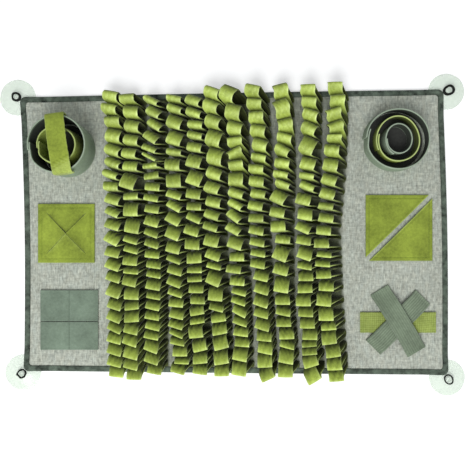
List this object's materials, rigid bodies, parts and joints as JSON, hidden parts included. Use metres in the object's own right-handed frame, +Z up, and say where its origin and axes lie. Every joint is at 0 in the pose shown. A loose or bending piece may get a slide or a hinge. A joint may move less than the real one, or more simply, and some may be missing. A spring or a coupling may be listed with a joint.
{
  "type": "snuffle mat",
  "caption": "Flat bound cloth mat with rows of leaning felt loops, round and flat felt pockets, crossed felt straps and clear suction cups at its corners.",
  "frame": {"origin": "middle of the mat's flat underside, on the floor", "axes": "+X along the mat's long side, +Y along its short side, +Z up"},
  "size_m": [0.7722, 0.5347, 0.0587],
  "materials": {
    "linen": "heathered pale grey-green linen-look weave with darker slubs",
    "binding": "dark grey-green woven binding tape",
    "lime_felt": "lime green needled felt, cut edges, short fuzz",
    "sage_felt": "sage grey-green needled felt",
    "charcoal_felt": "charcoal felt",
    "elastic": "black woven elastic",
    "clear_vinyl": "clear soft vinyl with a faint green tint, glossy"
  },
  "bodies": {
    "root": {"corner_pocket_left": "lime_felt", "corner_pocket_right": "lime_felt", "corner_tab_1": "elastic", "corner_tab_2": "elastic", "corner_tab_3": "elastic", "corner_tab_4": "elastic", "cross_strap_lime": "lime_felt", "cross_strap_over": "sage_felt", "cross_strap_under": "sage_felt", "loop_ribbon_01": "lime_felt", "loop_ribbon_02": "lime_felt", "loop_ribbon_03": "lime_felt", "loop_ribbon_04": "lime_felt", "loop_ribbon_05": "lime_felt", "loop_ribbon_06": "lime_felt", "loop_ribbon_07": "lime_felt", "loop_ribbon_08": "lime_felt", "loop_ribbon_09": "lime_felt", "loop_ribbon_10": "lime_felt", "loop_ribbon_11": "lime_felt", "low_cup_floor": "charcoal_felt", "low_cup_inner": "sage_felt", "low_cup_middle": "lime_felt", "low_cup_wall": "sage_felt", "mat_binding": "binding", "mat_cloth": "linen", "sage_pocket_bottom": "sage_felt", "sage_pocket_top": "sage_felt", "slit_pocket": "lime_felt", "suction_cup_1": "clear_vinyl", "suction_cup_2": "clear_vinyl", "suction_cup_3": "clear_vinyl", "suction_cup_4": "clear_vinyl", "tall_cup_floor": "charcoal_felt", "tall_cup_inner": "lime_felt", "tall_cup_strap": "lime_felt", "tall_cup_wall": "sage_felt"}
  },
  "joints": []
}
